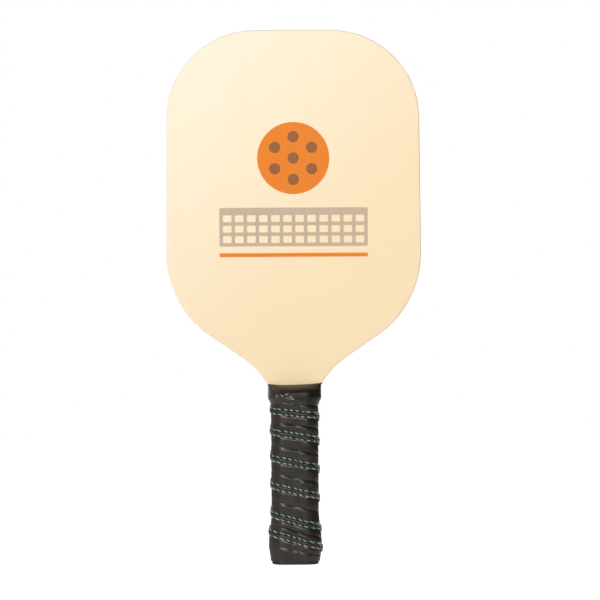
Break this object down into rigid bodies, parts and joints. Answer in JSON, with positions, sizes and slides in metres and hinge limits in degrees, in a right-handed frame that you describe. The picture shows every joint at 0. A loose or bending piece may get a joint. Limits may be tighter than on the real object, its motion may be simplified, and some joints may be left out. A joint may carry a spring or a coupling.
{
  "type": "pickleball paddle",
  "caption": "Wooden pickleball paddle with a broad rounded plywood blade, a printed ball and net mark, and a stitched spiral cushion grip.",
  "frame": {"origin": "centre of the butt end's flat face", "axes": "+Z from the butt end up to the blade's top edge, +X across the striking face, -Y out of the printed front face"},
  "size_m": [0.1906, 0.0352, 0.4],
  "materials": {
    "face_veneer": "satin lacquer over pale long-grain maple veneer",
    "long_grain_ply": "sawn plywood edge, long grain",
    "crossband_ply": "sawn plywood edge, end grain",
    "handle_wood": "bare planed hardwood",
    "moulded_black": "moulded, fine texture",
    "staple_steel": "plain flat wire",
    "adhesive": "double-sided tape",
    "foam": "closed-cell foam",
    "grip_leather": "embossed synthetic leather, soft sheen",
    "cord": "braided",
    "stitch_thread": "twisted polyester",
    "finishing_tape": "glossy stretch vinyl",
    "ink_orange": "screen-printed ink",
    "ink_brown": "screen-printed ink",
    "ink_grey": "screen-printed ink"
  },
  "bodies": {
    "root": {"face_veneer_front": "face_veneer", "crossband_front": "crossband_ply", "long_ply_front": "long_grain_ply", "core_ply": "crossband_ply", "long_ply_rear": "long_grain_ply", "crossband_rear": "crossband_ply", "face_veneer_rear": "face_veneer", "handle_scale_front": "handle_wood", "handle_scale_rear": "handle_wood", "butt_cap": "moulded_black", "butt_cap_staples": "staple_steel", "grip_adhesive_film": "adhesive", "grip_foam_backing": "foam", "grip_leather_strip": "grip_leather", "grip_rib_cord": "cord", "grip_stitching_upper": "stitch_thread", "grip_stitching_lower": "stitch_thread", "grip_finishing_tape": "finishing_tape", "printed_ball_and_line": "ink_orange", "printed_ball_holes": "ink_brown", "printed_net": "ink_grey"}
  },
  "joints": []
}
